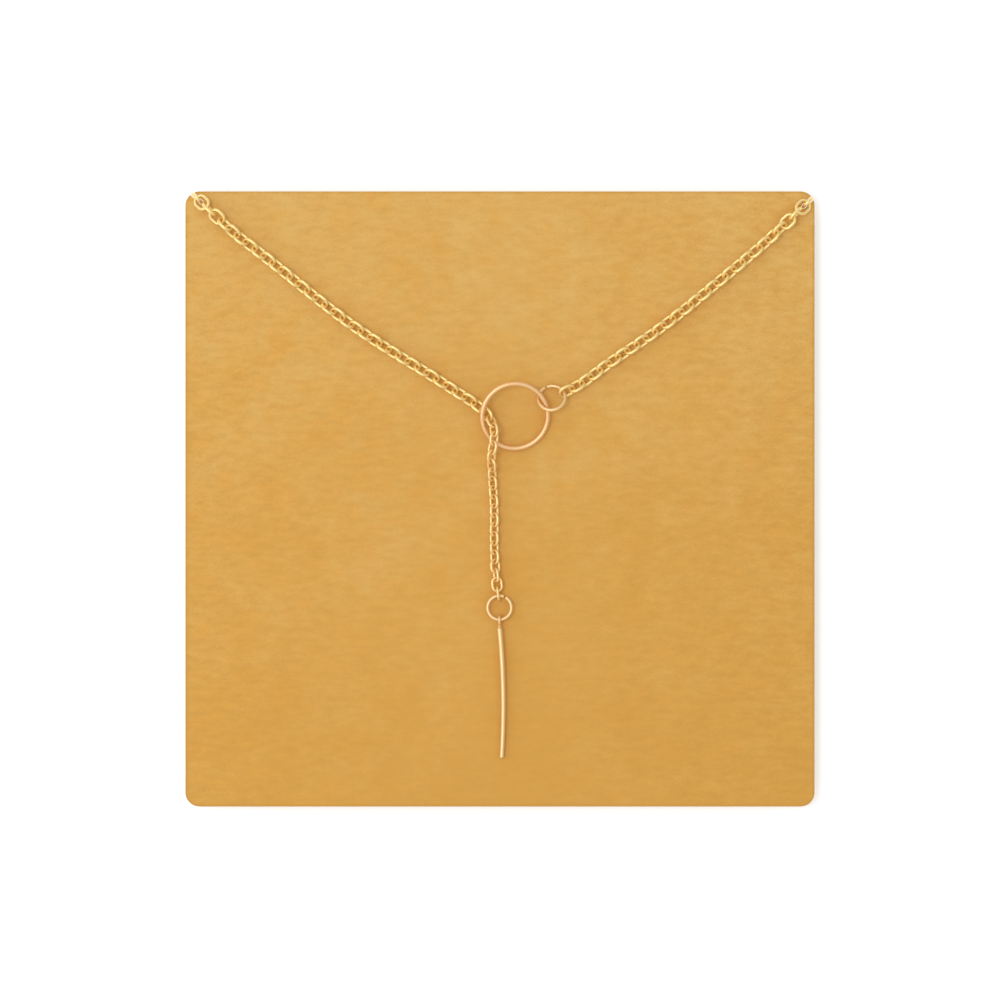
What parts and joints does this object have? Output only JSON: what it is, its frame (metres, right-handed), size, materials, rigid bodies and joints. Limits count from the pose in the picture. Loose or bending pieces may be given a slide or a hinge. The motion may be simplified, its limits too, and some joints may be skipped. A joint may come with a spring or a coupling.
{
  "type": "open circle lariat necklace on a display card",
  "caption": "Gold-tone cable chain lariat with an open circle and a slim bar drop on a finer chain, held by the notched top corners of a square tan display card.",
  "frame": {"origin": "on the resting surface, under the middle of the card", "axes": "+Z out of the card's face, +Y towards the card's top edge with its two notched corners"},
  "size_m": [0.09, 0.088, 0.006],
  "materials": {
    "card_board": "matte tan card stock",
    "yellow_gold": "polished, thin gold plate",
    "rosy_gold": "polished, pale rosy gold plate"
  },
  "bodies": {
    "root": {"card": "card_board", "open_circle": "rosy_gold", "jump_ring": "yellow_gold", "neck_chain": "yellow_gold", "drop_chain": "yellow_gold", "end_ring": "yellow_gold", "bar_drop": "yellow_gold"}
  },
  "joints": []
}
